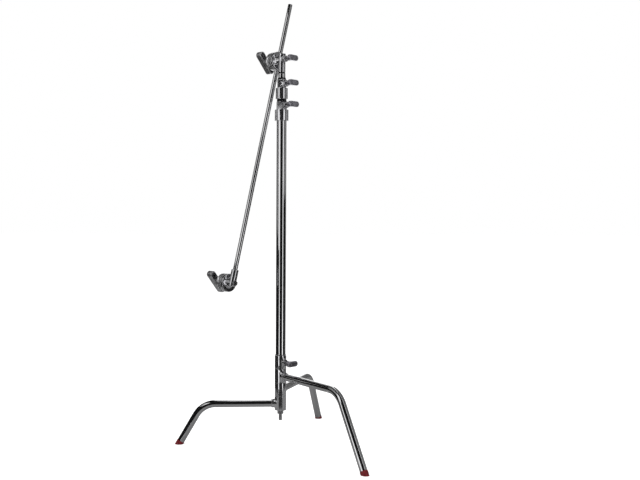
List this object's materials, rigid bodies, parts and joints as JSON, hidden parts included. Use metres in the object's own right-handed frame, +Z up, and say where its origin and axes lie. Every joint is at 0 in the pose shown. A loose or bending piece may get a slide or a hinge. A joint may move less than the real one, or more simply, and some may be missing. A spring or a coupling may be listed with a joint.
{
  "type": "c stand",
  "caption": "Studio stand with three folding bent legs on stacked collars, a three-section column, T handles, two grip heads and a long grip arm.",
  "frame": {"origin": "on the floor under the middle of the bounding box", "axes": "+Z up along the column; -Y towards the viewer; +X to the viewer's right"},
  "size_m": [0.6528, 0.818, 1.5747],
  "materials": {
    "chrome_tube": "polished chrome plate on steel tube",
    "cast_chrome": "bright plated casting, slightly soft",
    "head_casting": "plated zinc casting, satin",
    "grey_enamel": "satin grey enamel on cast metal",
    "plated_steel": "zinc plated steel hardware",
    "black_nylon": "black nylon",
    "red_rubber": "dark red moulded rubber",
    "brass_pad": "turned brass"
  },
  "bodies": {
    "base": {"base_socket": "cast_chrome", "base_bolt": "plated_steel", "base_washer": "plated_steel", "base_nut": "plated_steel", "base_spring": "plated_steel", "middle_leg_pin": "plated_steel", "middle_leg_collar": "cast_chrome", "middle_leg_tube": "chrome_tube", "middle_leg_foot": "red_rubber"},
    "bottom_leg": {"bottom_leg_collar": "cast_chrome", "bottom_leg_tube": "chrome_tube", "bottom_leg_foot": "red_rubber"},
    "top_leg": {"top_leg_collar": "cast_chrome", "top_leg_tube": "chrome_tube", "top_leg_foot": "red_rubber"},
    "column": {"column_spigot": "chrome_tube", "outer_tube": "chrome_tube", "lower_clamp": "cast_chrome", "lower_clamp_screw": "plated_steel", "lower_clamp_bush": "black_nylon"},
    "middle_riser": {"middle_tube": "chrome_tube", "middle_tube_guide": "black_nylon", "upper_clamp": "cast_chrome", "upper_clamp_screw": "plated_steel", "upper_clamp_bush": "black_nylon"},
    "inner_riser": {"inner_tube": "chrome_tube", "inner_tube_guide": "black_nylon", "top_stud": "plated_steel", "stud_ring": "black_nylon"},
    "stand_head": {"stand_head_body": "head_casting", "stand_head_bolt": "plated_steel", "stand_head_friction_disc": "black_nylon"},
    "stand_head_inner_jaw": {"stand_head_inner_jaw": "head_casting", "stand_head_jaw_spring": "plated_steel"},
    "stand_head_outer_jaw": {"stand_head_outer_jaw": "head_casting", "stand_head_thrust_bearing": "plated_steel"},
    "stand_head_knob": {"stand_head_knob": "head_casting"},
    "arm": {"grip_arm": "chrome_tube", "end_head_body": "head_casting", "end_head_bolt": "plated_steel", "end_head_roll_pin": "plated_steel", "end_head_friction_disc": "black_nylon"},
    "end_head_inner_jaw": {"end_head_inner_jaw": "head_casting", "end_head_jaw_spring": "plated_steel"},
    "end_head_outer_jaw": {"end_head_outer_jaw": "head_casting", "end_head_thrust_bearing": "plated_steel"},
    "end_head_knob": {"end_head_knob": "head_casting"},
    "base_lock_pad": {"base_lock_pad": "brass_pad"},
    "base_lock_handle": {"base_lock_screw": "plated_steel", "base_lock_handle": "grey_enamel"},
    "lower_lock_pad": {"lower_lock_pad": "brass_pad"},
    "lower_lock_handle": {"lower_lock_screw": "plated_steel", "lower_lock_handle": "grey_enamel"},
    "upper_lock_pad": {"upper_lock_pad": "brass_pad"},
    "upper_lock_handle": {"upper_lock_screw": "plated_steel", "upper_lock_handle": "grey_enamel"},
    "head_lock_pad": {"head_lock_pad": "brass_pad"},
    "head_lock_handle": {"head_lock_screw": "plated_steel", "head_lock_handle": "grey_enamel"}
  },
  "joints": [
    {"name": "top_leg_fold", "type": "hinge", "parent": "base", "child": "top_leg", "pos_m": [0.046, 0.00365, 0], "axis": [0, 0, 1], "range_deg": [0, 125.1]},
    {"name": "bottom_leg_fold", "type": "hinge", "parent": "base", "child": "bottom_leg", "pos_m": [0.046, 0.00365, 0], "axis": [0, 0, -1], "range_deg": [0, 114.7]},
    {"name": "column_lift", "type": "slide", "parent": "base", "child": "column", "axis": [0, 0, 1], "range_m": [0, 0.09]},
    {"name": "middle_riser_lift", "type": "slide", "parent": "column", "child": "middle_riser", "axis": [0, 0, 1], "range_m": [0, 0.8]},
    {"name": "inner_riser_lift", "type": "slide", "parent": "middle_riser", "child": "inner_riser", "axis": [0, 0, 1], "range_m": [0, 0.851]},
    {"name": "stand_head_pan", "type": "hinge", "parent": "inner_riser", "child": "stand_head", "pos_m": [0.046, 0.00365, 0], "axis": [0, 0, 1], "range_deg": [-150, 90]},
    {"name": "arm_tilt", "type": "hinge", "parent": "stand_head", "child": "stand_head_inner_jaw", "pos_m": [0.046, 0.00365, 1.3594], "axis": [-0.6561, 0.7547, 0], "continuous": true},
    {"name": "arm_slide", "type": "slide", "parent": "stand_head_inner_jaw", "child": "arm", "axis": [0.1902, 0.1654, 0.9677], "range_m": [-0.15, 0.6]},
    {"name": "stand_head_jaw_open", "type": "slide", "parent": "stand_head_inner_jaw", "child": "stand_head_outer_jaw", "axis": [-0.6561, 0.7547, 0], "range_m": [0, 0.003]},
    {"name": "stand_head_knob_turn", "type": "hinge", "parent": "stand_head_outer_jaw", "child": "stand_head_knob", "pos_m": [0.046, 0.00365, 1.3594], "axis": [-0.6561, 0.7547, 0], "range_deg": [0, 720]},
    {"name": "end_head_jaws_turn", "type": "hinge", "parent": "arm", "child": "end_head_inner_jaw", "pos_m": [-0.12093, -0.09058, 0.57336], "axis": [-0.6561, 0.7547, 0], "continuous": true},
    {"name": "end_head_jaw_open", "type": "slide", "parent": "end_head_inner_jaw", "child": "end_head_outer_jaw", "axis": [-0.6561, 0.7547, 0], "range_m": [0, 0.003]},
    {"name": "end_head_knob_turn", "type": "hinge", "parent": "end_head_outer_jaw", "child": "end_head_knob", "pos_m": [-0.12093, -0.09058, 0.57336], "axis": [-0.6561, 0.7547, 0], "range_deg": [0, 720]},
    {"name": "base_lock_release", "type": "slide", "parent": "base", "child": "base_lock_pad", "axis": [0.7071, -0.7071, 0], "range_m": [0, 0.003]},
    {"name": "base_lock_turn", "type": "hinge", "parent": "base_lock_pad", "child": "base_lock_handle", "pos_m": [0.046, 0.00365, 0.286], "axis": [0.7071, -0.7071, 0], "range_deg": [0, 720]},
    {"name": "lower_lock_release", "type": "slide", "parent": "column", "child": "lower_lock_pad", "axis": [0.7071, -0.7071, 0], "range_m": [0, 0.003]},
    {"name": "lower_lock_turn", "type": "hinge", "parent": "lower_lock_pad", "child": "lower_lock_handle", "pos_m": [0.046, 0.00365, 1.1984], "axis": [0.7071, -0.7071, 0], "range_deg": [0, 720]},
    {"name": "upper_lock_release", "type": "slide", "parent": "middle_riser", "child": "upper_lock_pad", "axis": [0.7071, -0.7071, 0], "range_m": [0, 0.003]},
    {"name": "upper_lock_turn", "type": "hinge", "parent": "upper_lock_pad", "child": "upper_lock_handle", "pos_m": [0.046, 0.00365, 1.2741], "axis": [0.7071, -0.7071, 0], "range_deg": [0, 720]},
    {"name": "head_lock_release", "type": "slide", "parent": "stand_head", "child": "head_lock_pad", "axis": [0.7431, -0.6691, 0], "range_m": [0, 0.003]},
    {"name": "head_lock_turn", "type": "hinge", "parent": "head_lock_pad", "child": "head_lock_handle", "pos_m": [0.046, 0.00365, 1.3619], "axis": [0.7431, -0.6691, 0], "range_deg": [0, 720]}
  ],
  "couplings": [
    {"joint": "stand_head_knob_turn", "follows": "stand_head_jaw_open", "rad_per_m": 4188.8},
    {"joint": "end_head_knob_turn", "follows": "end_head_jaw_open", "rad_per_m": 4188.8},
    {"joint": "base_lock_turn", "follows": "base_lock_release", "rad_per_m": 4188.8},
    {"joint": "lower_lock_turn", "follows": "lower_lock_release", "rad_per_m": 4188.8},
    {"joint": "upper_lock_turn", "follows": "upper_lock_release", "rad_per_m": 4188.8},
    {"joint": "head_lock_turn", "follows": "head_lock_release", "rad_per_m": 4188.8}
  ]
}
